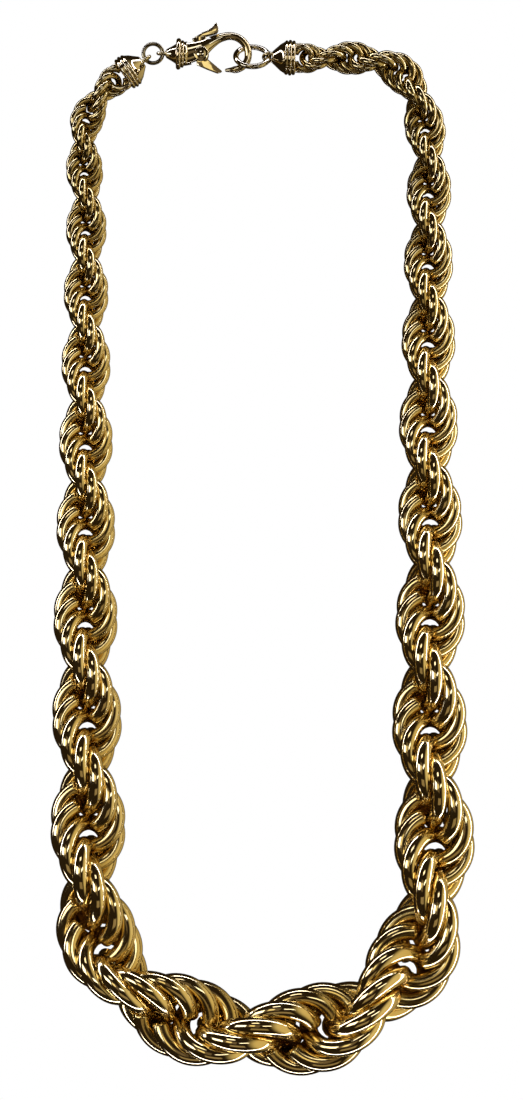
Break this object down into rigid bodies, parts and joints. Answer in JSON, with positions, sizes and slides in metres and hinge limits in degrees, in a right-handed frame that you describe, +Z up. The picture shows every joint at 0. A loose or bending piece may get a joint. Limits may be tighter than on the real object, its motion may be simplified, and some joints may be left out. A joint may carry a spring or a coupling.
{
  "type": "graduated rope chain necklace",
  "caption": "Graduated rope chain necklace of interlocked round wire links, thin at its ribbed end caps and thick at the bottom, closed by a lobster claw clasp and a ring.",
  "frame": {"origin": "middle of the necklace's box, on the surface that it lies on", "axes": "+Z up from the surface, +Y from the thick bottom of the loop towards the clasp, +X towards the end that the clasp ring is on"},
  "size_m": [0.079, 0.1966, 0.0166],
  "materials": {
    "rope_gold": "polished yellow gold, darker in the twists",
    "clasp_gold": "polished yellow gold, cast and buffed",
    "ring_gold": "polished yellow gold wire"
  },
  "bodies": {
    "necklace": {"rope_left": "rope_gold", "rope_right": "rope_gold", "end_cap_left": "clasp_gold", "end_cap_right": "clasp_gold", "jump_ring": "ring_gold", "clasp_body": "clasp_gold", "clasp_rivet": "ring_gold", "clasp_ring": "ring_gold"},
    "lever": {"clasp_lever": "clasp_gold"}
  },
  "joints": [
    {"name": "lever_hinge", "type": "hinge", "parent": "necklace", "child": "lever", "pos_m": [-0.01149, 0.09245, 0.00335], "axis": [0, 0, 1], "range_deg": [0, 25], "stiffness_Nm_per_rad": 0.002, "springref_deg": -5.73}
  ]
}
